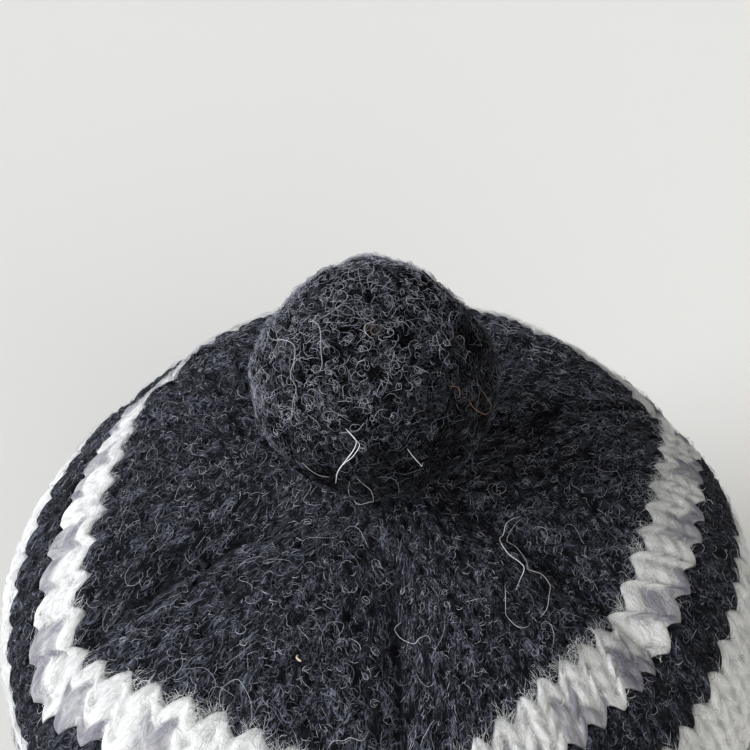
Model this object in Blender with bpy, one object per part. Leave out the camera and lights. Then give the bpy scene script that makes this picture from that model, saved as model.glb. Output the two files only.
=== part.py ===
"""Knit cap of fulled wool with a stuffed bobble.

The cap is knitted in the round from a ribbed brim up. Six decrease lines close its crown, so its upper rounds
are six-sided. Metres, +Z up, front towards -Y. The origin is the middle of the rim, on the surface it rests on.

A place on the cloth has a distance, measured along the cloth from the middle of the crown, and a column of
stitches, counted from the front decrease line towards +X.
"""
import math
from collections import namedtuple

import bmesh
import bpy
from mathutils import Matrix, Vector

# Knitting
ROW_HEIGHT = 0.0047
GORES = 6
GORE_STITCHES = 12
STITCHES = GORES * GORE_STITCHES
WALL = 0.0045
GAP = 0.0003

CHARCOAL = (0.032, 0.033, 0.039)
OFF_WHITE = (0.82, 0.81, 0.78)
LILAC_GREY = (0.34, 0.32, 0.37)
WOOL_ROUGHNESS = 0.95

# Each round of colour, by the rows where it starts and ends, counted from the middle of the crown
Round = namedtuple("Round", "name first_row last_row colour steps")
CROWN = Round("crown", 0, 13, CHARCOAL, GORE_STITCHES)
ROUNDS = (
    Round("pattern_round", 13, 16, OFF_WHITE, 3),
    Round("dark_round", 16, 19, CHARCOAL, 3),
    Round("white_round", 19, 24, OFF_WHITE, 4),
    Round("grey_round", 24, 26, LILAC_GREY, 1),
    Round("side", 26, 33, CHARCOAL, 4),
)
BRIM = Round("ribbed_brim", 33, 43, CHARCOAL, 4)
CLOTH_LENGTH = BRIM.last_row * ROW_HEIGHT

# Form: from the middle of the crown the cloth turns down evenly faster, and stands upright from here on
DOME_REACH = 0.1090
PROFILE_STEPS = 40

# Decrease lines: angle from the front in degrees, and how far out the line's corners lie, against an even six
Line = namedtuple("Line", "angle reach")
LINES = (
    Line(3, 1.00),
    Line(56, 0.80),
    Line(116, 1.11),
    Line(174, 1.04),
    Line(232, 1.00),
    Line(299, 1.06),
)
FIRST_COLUMN_ANGLE = -4
SIX_SIDED_TO = 0.074
ROUND_FROM = 0.125

# Each decrease line lies in a shallow valley, which fades out under the bobble and at the side
VALLEY_DEPTH = 0.0018
VALLEY_WIDTH = 0.0045
VALLEY_STARTS = 0.012
VALLEY_FULL = 0.024
VALLEY_ENDS = 0.100

# Dents and swellings of the soft crown, in degrees and metres: a positive push stands out
Dent = namedtuple("Dent", "angle distance angle_width length push")
DENTS = (
    Dent(-60, 0.040, 16, 0.026, -0.0022),
    Dent(56, 0.046, 18, 0.024, -0.0024),
    Dent(-30, 0.045, 15, 0.022, 0.0010),
    Dent(55, 0.085, 20, 0.022, -0.0022),
    Dent(20, 0.090, 20, 0.024, -0.0012),
    Dent(160, 0.035, 20, 0.018, -0.0040),
    Dent(150, 0.060, 26, 0.014, 0.0016),
    Dent(-145, 0.060, 30, 0.014, 0.0018),
    Dent(180, 0.078, 60, 0.014, -0.0030),
    Dent(-140, 0.042, 24, 0.018, 0.0014),
    Dent(-115, 0.078, 28, 0.020, -0.0034),
    Dent(-95, 0.104, 28, 0.018, 0.0016),
)
SEAT_RADIUS = 0.011
SEAT_FADES_BY = 0.0275

# The side swells a little above the brim, which draws in
Swell = namedtuple("Swell", "row push")
SWELLS = (
    Swell(22, 0.0),
    Swell(28, 0.0022),
    Swell(34, -0.0015),
    Swell(38, -0.0038),
    Swell(43, -0.0045),
)
RIB_HEIGHT = 0.0018

# Bobble: a stuffed ball, gathered at its top and sewn down at its flattened foot
BOBBLE_RADIUS = 0.0235
BOBBLE_PLACE = (-0.0020, 0.0040)
BOBBLE_LIFT = 0.92
BOBBLE_SIDES = 24
BOBBLE_RINGS = 16
BOBBLE_GATHERS = 8
GATHER_DEPTH = 0.018
GATHER_SPREAD = 1.2

# Where the stuffed ball falls short of round, by direction from its middle in degrees, as a share of its radius
Hollow = namedtuple("Hollow", "azimuth elevation width share")
HOLLOWS = (
    Hollow(-130, 32, 24, -0.09),
    Hollow(130, 31, 26, -0.14),
    Hollow(180, 46, 18, -0.04),
    Hollow(-20, 80, 13, -0.05),
)


def clear_scene():
    for item in list(bpy.data.objects):
        bpy.data.objects.remove(item, do_unlink=True)


def smooth_step(value, start, end):
    """Rises from 0 at start to 1 at end, level at both."""
    share = min(max((value - start) / (end - start), 0.0), 1.0)
    return share * share * (3 - 2 * share)


def bump(offset, width):
    return math.exp(-((offset / width) ** 2))


def wool(name, colour):
    material = bpy.data.materials.new(name)
    material.use_nodes = True
    shader = material.node_tree.nodes["Principled BSDF"]
    shader.inputs["Base Color"].default_value = (*colour, 1.0)
    shader.inputs["Roughness"].default_value = WOOL_ROUGHNESS
    shader.inputs["Metallic"].default_value = 0.0
    material.diffuse_color = (*colour, 1.0)
    return material


def add_piece(name, mesh_data, colour, collection):
    mesh = bpy.data.meshes.new(name)
    mesh_data.to_mesh(mesh)
    mesh_data.free()
    mesh.shade_smooth()
    mesh.materials.append(wool(name + "_wool", colour))
    piece = bpy.data.objects.new(name, mesh)
    collection.objects.link(piece)
    return piece


def dome_profile(distance):
    """Radius and drop of the dome at a distance along its cloth, by summing its slope."""
    curved = min(distance, DOME_REACH)
    radius = drop = 0.0
    for step in range(PROFILE_STEPS):
        along = curved * (step + 0.5) / PROFILE_STEPS
        slope = math.pi / 2 * (along / DOME_REACH) ** 2
        radius += math.cos(slope) * curved / PROFILE_STEPS
        drop += math.sin(slope) * curved / PROFILE_STEPS
    return radius, drop + max(distance - DOME_REACH, 0.0)


CROWN_TOP = dome_profile(CLOTH_LENGTH)[1]


def dome_place(distance, column):
    """Distance and angle on the dome of a place on the cloth.

    The upper rounds run straight from one decrease line to the next, and the lower ones are round.
    """
    gore, share = divmod(column / GORE_STITCHES, 1)
    first = LINES[int(gore) % GORES]
    second = LINES[(int(gore) + 1) % GORES]
    first_angle = math.radians(first.angle)
    second_angle = first_angle + math.radians((second.angle - first.angle) % 360)
    corner = distance / math.cos(math.pi / GORES)
    across = (1 - share) * corner * first.reach * math.sin(first_angle)
    across += share * corner * second.reach * math.sin(second_angle)
    along = (1 - share) * corner * first.reach * math.cos(first_angle)
    along += share * corner * second.reach * math.cos(second_angle)
    straight_angle = math.atan2(across, along)
    round_angle = math.radians(FIRST_COLUMN_ANGLE) + 2 * math.pi * column / STITCHES
    turn = (straight_angle - round_angle + math.pi) % (2 * math.pi) - math.pi
    straightness = 1 - smooth_step(distance, SIX_SIDED_TO, ROUND_FROM)
    place = distance + (math.hypot(across, along) - distance) * straightness
    return place, round_angle + turn * straightness


def valley(distance, column):
    """Depth of the valley along the nearest decrease line."""
    share = (column / GORE_STITCHES) % 1
    side_length = 2 * distance * math.tan(math.pi / GORES)
    from_line = min(share, 1 - share) * side_length
    fade = smooth_step(distance, VALLEY_STARTS, VALLEY_FULL)
    fade *= 1 - smooth_step(distance, SIX_SIDED_TO, VALLEY_ENDS)
    return VALLEY_DEPTH * fade * bump(from_line, VALLEY_WIDTH)


def dents(place, angle):
    pushed = 0.0
    for dent in DENTS:
        turned = (math.degrees(angle) - dent.angle + 180) % 360 - 180
        pushed += dent.push * bump(turned, dent.angle_width) * bump(place - dent.distance, dent.length)
    return pushed * smooth_step(place, SEAT_RADIUS, SEAT_FADES_BY)


def swell(distance):
    """How far the side stands out at this distance, smoothly between the rows of the table."""
    row = distance / ROW_HEIGHT
    push = SWELLS[0].push
    for upper, lower in zip(SWELLS, SWELLS[1:]):
        push += (lower.push - upper.push) * smooth_step(row, upper.row, lower.row)
    return push


def cap_point(distance, column, depth=0.0, rib=0.0):
    """Point of the cap at a place on the cloth, and a depth below its outer face."""
    place, angle = dome_place(distance, column)
    radius, drop = dome_profile(place)
    slope = math.pi / 2 * min(place / DOME_REACH, 1.0) ** 2
    outward = Vector((math.sin(angle) * math.sin(slope), -math.cos(angle) * math.sin(slope), math.cos(slope)))
    middle = Vector((radius * math.sin(angle), -radius * math.cos(angle), CROWN_TOP - drop))
    rise = swell(distance) + dents(place, angle) - valley(distance, column) + rib
    return middle + outward * (rise - depth)


def give_wall(sheet):
    """Adds the inner face and the edges of an open sheet. Returns the inner face's vertices."""
    faces = list(sheet.faces)
    copy = bmesh.ops.extrude_face_region(sheet, geom=faces, use_keep_orig=True)
    return {item for item in copy["geom"] if isinstance(item, bmesh.types.BMVert)}


def face_outwards(solid):
    bmesh.ops.recalc_face_normals(solid, faces=list(solid.faces))
    if solid.calc_volume(signed=True) < 0:
        bmesh.ops.reverse_faces(solid, faces=list(solid.faces))


def make_crown(collection):
    """The top of the cap: a flat six-sided sheet of even triangles, with a wall, laid over the dome."""
    sheet = bmesh.new()
    edge_distance = CROWN.last_row * ROW_HEIGHT - GAP / 2
    corner_radius = edge_distance / math.cos(math.pi / GORES)
    bmesh.ops.create_circle(sheet, cap_ends=True, cap_tris=True, segments=GORES, radius=corner_radius,
                            matrix=Matrix.Rotation(math.pi / GORES, 4, "Z"))
    bmesh.ops.subdivide_edges(sheet, edges=list(sheet.edges), cuts=CROWN.steps - 1, use_grid_fill=True)
    inner = give_wall(sheet)
    gore_angle = 2 * math.pi / GORES
    for vertex in sheet.verts:
        turn = math.atan2(vertex.co.y, vertex.co.x) % (2 * math.pi)
        radius = vertex.co.xy.length
        gore = int(turn / gore_angle)
        from_middle = turn - (gore + 0.5) * gore_angle
        share = 0.5 + 0.5 * math.tan(from_middle) / math.tan(gore_angle / 2)
        column = GORE_STITCHES * (gore + share)
        depth = WALL if vertex in inner else 0.0
        vertex.co = cap_point(radius * math.cos(from_middle), column, depth)
    face_outwards(sheet)
    return add_piece(CROWN.name, sheet, CROWN.colour, collection)


def make_round(knitted, collection, rib_height=0.0):
    """A round of rows: a tube with a column of faces for each stitch, with a wall, laid over the dome."""
    sheet = bmesh.new()
    first = knitted.first_row * ROW_HEIGHT + GAP / 2
    last = knitted.last_row * ROW_HEIGHT
    if knitted is not BRIM:
        last -= GAP / 2
    bmesh.ops.create_cone(sheet, segments=STITCHES, radius1=1, radius2=1, depth=last - first,
                          matrix=Matrix.Translation((0, 0, (first + last) / 2)))
    upright = [edge for edge in sheet.edges if abs(edge.verts[0].co.z - edge.verts[1].co.z) > GAP]
    bmesh.ops.subdivide_edges(sheet, edges=upright, cuts=knitted.steps - 1, use_grid_fill=True)
    inner = give_wall(sheet)
    for vertex in sheet.verts:
        column = STITCHES * math.atan2(vertex.co.y, vertex.co.x) / (2 * math.pi) % STITCHES
        rib = 0.0
        if rib_height:
            above = smooth_step(vertex.co.z, first, first + ROW_HEIGHT)
            rib = rib_height / 2 * above * (1 if round(column) % 2 else -1)
        if vertex in inner:
            vertex.co = cap_point(vertex.co.z, column, WALL, -rib)
        else:
            vertex.co = cap_point(vertex.co.z, column, 0.0, rib)
    face_outwards(sheet)
    return add_piece(knitted.name, sheet, knitted.colour, collection)


def hollows(direction):
    """How far the bobble's radius departs from even in a direction, as a share."""
    total = 0.0
    for hollow in HOLLOWS:
        azimuth = math.radians(hollow.azimuth)
        elevation = math.radians(hollow.elevation)
        level = math.cos(elevation)
        towards = Vector((math.sin(azimuth) * level, -math.cos(azimuth) * level, math.sin(elevation)))
        total += hollow.share * bump(math.degrees(direction.angle(towards)), hollow.width)
    return total


def make_bobble(collection):
    """The stuffed ball, drawn together in gathers towards its top, with a flat foot on the crown."""
    ball = bmesh.new()
    bmesh.ops.create_uvsphere(ball, u_segments=BOBBLE_SIDES, v_segments=BOBBLE_RINGS, radius=1)
    foot = GAP - BOBBLE_LIFT * BOBBLE_RADIUS
    middle = Vector((*BOBBLE_PLACE, CROWN_TOP + BOBBLE_LIFT * BOBBLE_RADIUS))
    for vertex in ball.verts:
        direction = vertex.co.normalized()
        from_top = math.acos(max(min(direction.z, 1.0), -1.0))
        turn = math.atan2(direction.y, direction.x)
        gather = math.cos(BOBBLE_GATHERS * turn) * math.sin(from_top) * bump(from_top, GATHER_SPREAD)
        radius = BOBBLE_RADIUS * (1 + hollows(direction) + GATHER_DEPTH * gather)
        point = direction * radius
        point.z = max(point.z, foot)
        vertex.co = middle + point
    face_outwards(ball)
    return add_piece("bobble", ball, CHARCOAL, collection)


def build():
    clear_scene()
    collection = bpy.data.collections.new("knit_cap")
    bpy.context.scene.collection.children.link(collection)
    make_crown(collection)
    for knitted in ROUNDS:
        make_round(knitted, collection)
    make_round(BRIM, collection, RIB_HEIGHT)
    make_bobble(collection)


build()
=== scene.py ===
import math

import bmesh
import bpy
import numpy as np
from mathutils import Matrix, Vector
from mathutils.bvhtree import BVHTree


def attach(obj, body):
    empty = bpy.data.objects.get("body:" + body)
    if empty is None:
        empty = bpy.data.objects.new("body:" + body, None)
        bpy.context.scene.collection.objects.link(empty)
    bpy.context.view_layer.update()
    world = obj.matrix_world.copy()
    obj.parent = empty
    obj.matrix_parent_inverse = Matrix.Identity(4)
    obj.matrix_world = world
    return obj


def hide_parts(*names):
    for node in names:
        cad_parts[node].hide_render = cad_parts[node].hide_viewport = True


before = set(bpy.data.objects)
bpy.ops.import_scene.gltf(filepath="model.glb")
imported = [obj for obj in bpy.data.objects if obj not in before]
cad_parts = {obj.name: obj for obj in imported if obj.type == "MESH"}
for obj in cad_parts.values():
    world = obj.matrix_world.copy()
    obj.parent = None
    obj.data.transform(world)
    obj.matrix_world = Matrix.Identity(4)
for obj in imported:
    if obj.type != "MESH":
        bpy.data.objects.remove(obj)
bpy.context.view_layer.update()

# The ribbed brim: charcoal wool, cast on first and worked one knit, one purl, up from the edge it stands on.
# The whole cap is one cloth, so this section also says where a place on the cloth lies on the cap: by its
# row, counted from the middle of the crown, and its column of stitches, from the front decrease line.
ROW_HEIGHT = 0.0047
GORES = 6
GORE_STITCHES = 12
STITCHES = GORES * GORE_STITCHES
WALL = 0.0045
GAP = 0.0003
GAP_ROWS = GAP / ROW_HEIGHT
BRIM_ROWS = (33, 43)
CLOTH_LENGTH = BRIM_ROWS[1] * ROW_HEIGHT
CLOTH_ROWS = CLOTH_LENGTH / ROW_HEIGHT
DOME_REACH = 0.1090
PROFILE_STEPS = 400
LINE_ANGLES = np.radians([3, 56, 116, 174, 232, 299])
LINE_REACH = np.array([1.00, 0.80, 1.11, 1.04, 1.00, 1.06])
FIRST_COLUMN_ANGLE = math.radians(-4)
SIX_SIDED_TO = 0.074
ROUND_FROM = 0.125
VALLEY_DEPTH = 0.0018
VALLEY_WIDTH = 0.0045
VALLEY_STARTS = 0.012
VALLEY_FULL = 0.024
VALLEY_ENDS = 0.100
# No dent reaches the bobble's seat
SEAT_RADIUS = 0.011
SEAT_FADES_BY = 0.0275
# Dents of the soft cloth: angle and distance of the middle, angle width, length, and how far it stands out
DENTS = (
    (-60, 0.040, 16, 0.026, -0.0022),
    (56, 0.046, 18, 0.024, -0.0024),
    (-30, 0.045, 15, 0.022, 0.0010),
    (55, 0.085, 20, 0.022, -0.0022),
    (20, 0.090, 20, 0.024, -0.0012),
    (160, 0.035, 20, 0.018, -0.0040),
    (150, 0.060, 26, 0.014, 0.0016),
    (-145, 0.060, 30, 0.014, 0.0018),
    (180, 0.078, 60, 0.014, -0.0030),
    (-140, 0.042, 24, 0.018, 0.0014),
    (-115, 0.078, 28, 0.020, -0.0034),
    (-95, 0.104, 28, 0.018, 0.0016),
)
# How far the side swells and the brim draws in: row, push
SWELLS = ((22, 0.0), (28, 0.0022), (34, -0.0015), (38, -0.0038), (43, -0.0045))
STITCHES_FULL_AT = 0.0734
# A stitch has two legs, which lean like a V: how far in rows, with what part of it towards the rim, and how
# wide and long a leg is, in stitches and rows
LEG_RISE = 1.5
LEG_MIDDLE = 0.27
LEG_WIDTH = 0.29
LEG_LENGTH = 0.62
LEG_PLUMPNESS = (0.78, 1.12)
# A purl is one low arch that lies across its stitch, and it hardly leans
PURL_HEIGHT = 0.8
PURL_LENGTH = 0.28
PURL_WIDTH = 0.45
PURL_UPRIGHT = 0.75
RIBS_SET_IN_OVER = 1.3
RIB_HEIGHT = 0.0024
FACE_LEVEL = 0.7
CREASE_DEPTH = 0.0009
CREASE_WIDTH = 0.0011
CREASE_SETS_IN = (3.5, 7)
CREASE_ENDS = (13, 16)
CREASE_SHADE = 0.9
# Lumps of the fulled cloth: their length, their share of its lumpiness, and what is added to its seed
LUMPS = ((0.0095, 1.0, 0), (0.0033, 0.45, 50))
CLOUD_WAVES = 10
CLOUD_REACH = 4.5
FACE_RADIUS = 2
INSIDE_RADIUS = 1
INSIDE_RELIEF = 0.4
INSIDE_LENGTH = 0.3
INSIDE_FULLNESS = 0.6
CHARCOAL = (0.0066, 0.0071, 0.0098)
CHARCOAL_FIBRE = (0.180, 0.192, 0.245)
# Share of the yarn's colour kept in the painted shade between stitches and in the dark clouds
CHARCOAL_SHADE_AND_CLOUD = 0.30
WOOL_SHINE = 0.06
WOOL_SHEEN = 0.03
FIBRE_SHARE = 0.9
# Layers of fine curls in the yarn: the scale of their noise, the lines in each wave of it, and its offset
CURL_LAYERS = ((800, 4.0, 0.0), (1050, 3.5, 3.1), (1350, 3.0, 7.7))
CURL_EDGES = (0.38, 0.48)
CURL_BREAKS = (0.40, 0.56)
CURL_RELIEF = 0.0002
BREAKS_SCALE = 400
CLOUDS_SCALE = 230
CLOUD_EDGES = (0.32, 0.62)
GRAIN_SCALE = 900
SHADED_TO = 0.25
FELT_GIRTH = 0.080
FELT_DRAWN = 0.45


def smooth_step(value, start, end):
    share = np.clip((value - start) / (end - start), 0.0, 1.0)
    return share * share * (3 - 2 * share)


def bump(offset, width):
    return np.exp(-((offset / width) ** 2))


def dome_profile(distance):
    """Radius and drop of the dome at a distance along its cloth."""
    along = (np.arange(PROFILE_STEPS) + 0.5) / PROFILE_STEPS * DOME_REACH
    slope = math.pi / 2 * (along / DOME_REACH) ** 2
    step = DOME_REACH / PROFILE_STEPS
    ends = np.arange(PROFILE_STEPS + 1) * step
    radius = np.interp(distance, ends, np.append(0, np.cumsum(np.cos(slope)) * step))
    drop = np.interp(distance, ends, np.append(0, np.cumsum(np.sin(slope)) * step))
    return radius, drop + np.maximum(distance - DOME_REACH, 0)


CROWN_TOP = float(dome_profile(np.array(CLOTH_LENGTH))[1])


def dome_place(distance, column):
    """Distance and angle on the dome: upper rounds run straight from line to line, lower ones are round."""
    gore = np.floor(column / GORE_STITCHES).astype(int) % GORES
    share = (column / GORE_STITCHES) % 1
    corner = distance / math.cos(math.pi / GORES)
    first, second = LINE_ANGLES[gore], LINE_ANGLES[(gore + 1) % GORES]
    first_corner = (1 - share) * corner * LINE_REACH[gore]
    second_corner = share * corner * LINE_REACH[(gore + 1) % GORES]
    across = first_corner * np.sin(first) + second_corner * np.sin(second)
    along = first_corner * np.cos(first) + second_corner * np.cos(second)
    round_angle = FIRST_COLUMN_ANGLE + 2 * math.pi * column / STITCHES
    turn = (np.arctan2(across, along) - round_angle + math.pi) % (2 * math.pi) - math.pi
    straightness = 1 - smooth_step(distance, SIX_SIDED_TO, ROUND_FROM)
    return distance + (np.hypot(across, along) - distance) * straightness, round_angle + turn * straightness


def form_rise(distance, column, place, angle):
    """How far the cloth stands out of the even dome: dents, swells and the valleys of the decrease lines."""
    rise = np.zeros_like(distance)
    for dent_angle, dent_distance, angle_width, length, push in DENTS:
        turned = (np.degrees(angle) - dent_angle + 180) % 360 - 180
        rise += push * bump(turned, angle_width) * bump(place - dent_distance, length)
    rise *= smooth_step(place, SEAT_RADIUS, SEAT_FADES_BY)
    for (upper, before), (lower, push) in zip(SWELLS, SWELLS[1:]):
        rise += (push - before) * smooth_step(distance / ROW_HEIGHT, upper, lower)
    share = (column / GORE_STITCHES) % 1
    from_line = np.minimum(share, 1 - share) * 2 * distance * math.tan(math.pi / GORES)
    fade = smooth_step(distance, VALLEY_STARTS, VALLEY_FULL)
    fade *= 1 - smooth_step(distance, SIX_SIDED_TO, VALLEY_ENDS)
    return rise - VALLEY_DEPTH * fade * bump(from_line, VALLEY_WIDTH)


def on_cap(row, column, rise=0.0):
    """Points of the cap and its outward directions, for places on the cloth and a rise above its face."""
    distance = np.maximum(row * ROW_HEIGHT, 0)
    place, angle = dome_place(distance, column)
    radius, drop = dome_profile(place)
    slope = math.pi / 2 * np.minimum(place / DOME_REACH, 1.0) ** 2
    outward = np.stack([np.sin(angle) * np.sin(slope), -np.cos(angle) * np.sin(slope), np.cos(slope)], -1)
    middle = np.stack([radius * np.sin(angle), -radius * np.cos(angle), CROWN_TOP - drop], -1)
    return middle + outward * (form_rise(distance, column, place, angle) + rise)[..., None], outward


def cloud(points, length, seed):
    """Soft unevenness, mostly between -1 and 1, over about the given length."""
    draw = np.random.default_rng(seed)
    total = np.zeros(len(points))
    for _ in range(CLOUD_WAVES):
        wave = draw.normal(size=3)
        wave *= 2 * math.pi / length / np.linalg.norm(wave) * draw.uniform(0.6, 1.3)
        total += np.sin(points @ wave + draw.uniform(0, 2 * math.pi))
    return total / CLOUD_REACH


def stitch_of(row, column, shift=0.0):
    """The stitch at a place: its number in its gore, and how far across it the place lies, -0.5 to 0.5."""
    count = GORE_STITCHES * np.clip(row * ROW_HEIGHT / STITCHES_FULL_AT, 0, 1)
    across = (((column / GORE_STITCHES) % 1) * 2 - 1) * count / 2 + shift
    stitch = np.floor(across).astype(int)
    return stitch, across - stitch - 0.5


def stitch_relief(row, stitch, across, gore, seed):
    """Height from 0 to about 1 of the two plump legs of each stitch, each stitch a little different."""
    draw = np.random.default_rng(seed)
    rows_drawn, stitches_drawn = 64, 16
    plump = draw.uniform(*LEG_PLUMPNESS, (rows_drawn, stitches_drawn, GORES))
    own = plump[np.floor(row).astype(int) % rows_drawn, stitch % stitches_drawn, gore]
    leg = (np.abs(across) - 0.25) / LEG_WIDTH
    along = (row % 1 - 0.5) / LEG_LENGTH
    return np.sqrt(np.clip(1 - leg ** 2 - along ** 2, 0, 1)) * own


def leg_lift(across):
    """How many rows the legs of a stitch lean to the crown: most at their outer sides, in a round tip."""
    leaning = 0.5 * np.sin(math.pi * np.abs(across)) + 0.25 * (1 - np.cos(2 * math.pi * across))
    return LEG_RISE * (0.5 * leaning - LEG_MIDDLE)


def worked(row, column, shift, ribbed):
    """The lean of the stitches in rows, how far each is purled, and how far the ribs have set in there."""
    stitch, across = stitch_of(row, column, shift)
    in_ribs = smooth_step(row, BRIM_ROWS[0], BRIM_ROWS[0] + RIBS_SET_IN_OVER) * ribbed
    purled = np.where((stitch + GORE_STITCHES) % 2 == 0, in_ribs, 0.0)
    lean = leg_lift(across) * (1 - PURL_UPRIGHT * purled)
    if ribbed:
        lean = leg_lift(stitch_of(row, column)[1]) * (1 - in_ribs) + lean * in_ribs
    lean *= smooth_step(CLOTH_ROWS - row, 0.0, 1.0) * smooth_step(row, 1.0, 4.0)
    return lean, purled, in_ribs


def line_crease(row, column):
    """How near a place is to a decrease line, 1 on it, where the drawn-in stitches leave a narrow crease."""
    share = (column / GORE_STITCHES) % 1
    from_line = np.minimum(share, 1 - share) * 2 * row * ROW_HEIGHT * math.tan(math.pi / GORES)
    narrow = bump(from_line, CREASE_WIDTH) * smooth_step(row, *CREASE_SETS_IN)
    return narrow * (1 - smooth_step(row, *CREASE_ENDS))


def wool(name, yarn, fibre, shade_and_cloud_share, pattern=None, shine=WOOL_SHINE, sheen=WOOL_SHEEN):
    """Fulled wool: soft clouds of light and dark yarn, under a tangle of fine curls that catch the light.

    The felt attribute says where on the knitting a place lies, and draws the curls out along its columns.
    The shaded_crease attribute is how full the stitch is, and carries painted shade: the gaps between
    stitches are painted darker.
    A pattern is the yarn and the fibre of the stitches worked in a second yarn.
    """
    material = bpy.data.materials.new(name)
    material.use_nodes = True
    nodes, links = material.node_tree.nodes, material.node_tree.links
    shader = nodes["Principled BSDF"]
    shader.inputs["Roughness"].default_value = 0.95
    shader.inputs["Specular IOR Level"].default_value = shine
    shader.inputs["Sheen Weight"].default_value = sheen
    shader.inputs["Sheen Roughness"].default_value = 0.6

    def attribute(key):
        node = nodes.new("ShaderNodeAttribute")
        node.attribute_name = key
        return node.outputs

    place = attribute("felt")["Vector"]

    def noise(scale, detail=2.0, offset=0.0, distortion=0.0):
        moved = nodes.new("ShaderNodeMapping")
        moved.inputs["Location"].default_value = (offset, offset * 0.7, -offset)
        links.new(place, moved.inputs["Vector"])
        texture = nodes.new("ShaderNodeTexNoise")
        texture.inputs["Scale"].default_value = scale
        texture.inputs["Detail"].default_value = detail
        texture.inputs["Distortion"].default_value = distortion
        links.new(moved.outputs["Vector"], texture.inputs["Vector"])
        return texture.outputs["Fac"]

    def math_node(operation, first, second):
        node = nodes.new("ShaderNodeMath")
        node.operation = operation
        for socket, value in zip(node.inputs, (first, second)):
            if isinstance(value, float):
                socket.default_value = value
            else:
                links.new(value, socket)
        return node.outputs[0]

    def ranged(value, low, high, to_low=0.0):
        node = nodes.new("ShaderNodeMapRange")
        for key, number in (("From Min", low), ("From Max", high), ("To Min", to_low)):
            node.inputs[key].default_value = number
        links.new(value, node.inputs["Value"])
        return node.outputs["Result"]

    def mixed(share, first, second):
        node = nodes.new("ShaderNodeMix")
        node.data_type = "RGBA"
        links.new(share, node.inputs["Factor"])
        for key, colour in (("A", first), ("B", second)):
            if isinstance(colour, tuple):
                node.inputs[key].default_value = (*colour, 1)
            else:
                links.new(colour, node.inputs[key])
        return node.outputs["Result"]

    curls = None
    for scale, lines, offset in CURL_LAYERS:
        tangle = noise(scale, detail=1.0, offset=offset, distortion=0.7)
        wave = math_node("PINGPONG", math_node("MULTIPLY", tangle, lines), 0.5)
        broken = ranged(noise(BREAKS_SCALE, detail=1.0, offset=offset + 1.0), *CURL_BREAKS)
        line = math_node("MULTIPLY", ranged(wave, *CURL_EDGES), broken)
        curls = line if curls is None else math_node("MAXIMUM", curls, line)
    colour = yarn
    if pattern:
        second = attribute("second_yarn")["Fac"]
        colour = mixed(second, yarn, pattern[0])
        fibre = mixed(second, fibre, pattern[1])
    # Painted shade: where shaded_crease is low (the gaps between stitches, the decrease lines' crease, the
    # bobble's side away from the light) and in the dark clouds, the yarn goes to its shade-and-cloud colour
    # and the curls dim
    full = ranged(attribute("shaded_crease")["Fac"], 0.0, 0.8, to_low=SHADED_TO)
    clouded = ranged(noise(CLOUDS_SCALE, detail=3.0, offset=5.0), *CLOUD_EDGES, to_low=SHADED_TO)
    lit = math_node("MULTIPLY", full, clouded)
    shade_and_cloud_colour = tuple(shade_and_cloud_share * part for part in yarn)
    colour = mixed(lit, shade_and_cloud_colour, colour)
    colour = mixed(math_node("MULTIPLY", curls, math_node("MULTIPLY", lit, FIBRE_SHARE)), colour, fibre)
    links.new(colour, shader.inputs["Base Color"])
    relief = nodes.new("ShaderNodeBump")
    relief.inputs["Strength"].default_value = 0.8
    relief.inputs["Distance"].default_value = CURL_RELIEF
    links.new(math_node("ADD", curls, noise(GRAIN_SCALE, offset=2.0)), relief.inputs["Height"])
    links.new(relief.outputs["Normal"], shader.inputs["Normal"])
    return material


def dressed(name, mesh, points, shaded_crease, felt, material, node):
    """Places a mesh's vertices, faces it outwards, and makes it the shown piece for its CAD node."""
    mesh.vertices.foreach_set("co", points.astype(np.float32).ravel())
    felt_data = mesh.attributes.new("felt", "FLOAT_VECTOR", "POINT").data
    felt_data.foreach_set("vector", felt.astype(np.float32).ravel())
    crease_data = mesh.attributes.new("shaded_crease", "FLOAT", "POINT").data
    crease_data.foreach_set("value", shaded_crease.astype(np.float32))
    solid = bmesh.new()
    solid.from_mesh(mesh)
    inside_out = solid.calc_volume(signed=True) < 0
    solid.free()
    if inside_out:
        mesh.flip_normals()
    mesh.shade_smooth()
    mesh.materials.append(material)
    piece = bpy.data.objects.new(name, mesh)
    bpy.context.scene.collection.objects.link(piece)
    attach(piece, "root")
    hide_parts(node)
    return piece


def flat_points(mesh):
    points = np.empty(len(mesh.vertices) * 3, dtype=np.float32)
    mesh.vertices.foreach_get("co", points)
    return points.reshape(-1, 3).astype(float)


def column_of(flat):
    """The column of stitches at places of a flat-wound tube."""
    return STITCHES * np.arctan2(flat[:, 1], flat[:, 0]) / (2 * math.pi) % STITCHES


def knitted_tube(name, rows, stitch_steps, row_steps):
    """A flat-wound tube with a wall: its face and inside have a radius each, and its height is its row."""
    tube = bmesh.new()
    first = rows[0] + GAP_ROWS / 2
    last = rows[1] - (0 if rows is BRIM_ROWS else GAP_ROWS / 2)
    outer = np.linspace(first, last, (rows[1] - rows[0]) * row_steps + 1)
    inner = np.linspace(last, first, rows[1] - rows[0] + 1)
    ring = [tube.verts.new((FACE_RADIUS, 0, row)) for row in outer]
    ring += [tube.verts.new((INSIDE_RADIUS, 0, row)) for row in inner]
    edges = [tube.edges.new(pair) for pair in zip(ring, ring[1:] + ring[:1])]
    bmesh.ops.spin(tube, geom=ring + edges, axis=(0, 0, 1), cent=(0, 0, 0), angle=2 * math.pi,
                   steps=STITCHES * stitch_steps, use_merge=True)
    mesh = bpy.data.meshes.new(name)
    tube.to_mesh(mesh)
    tube.free()
    return mesh


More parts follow.
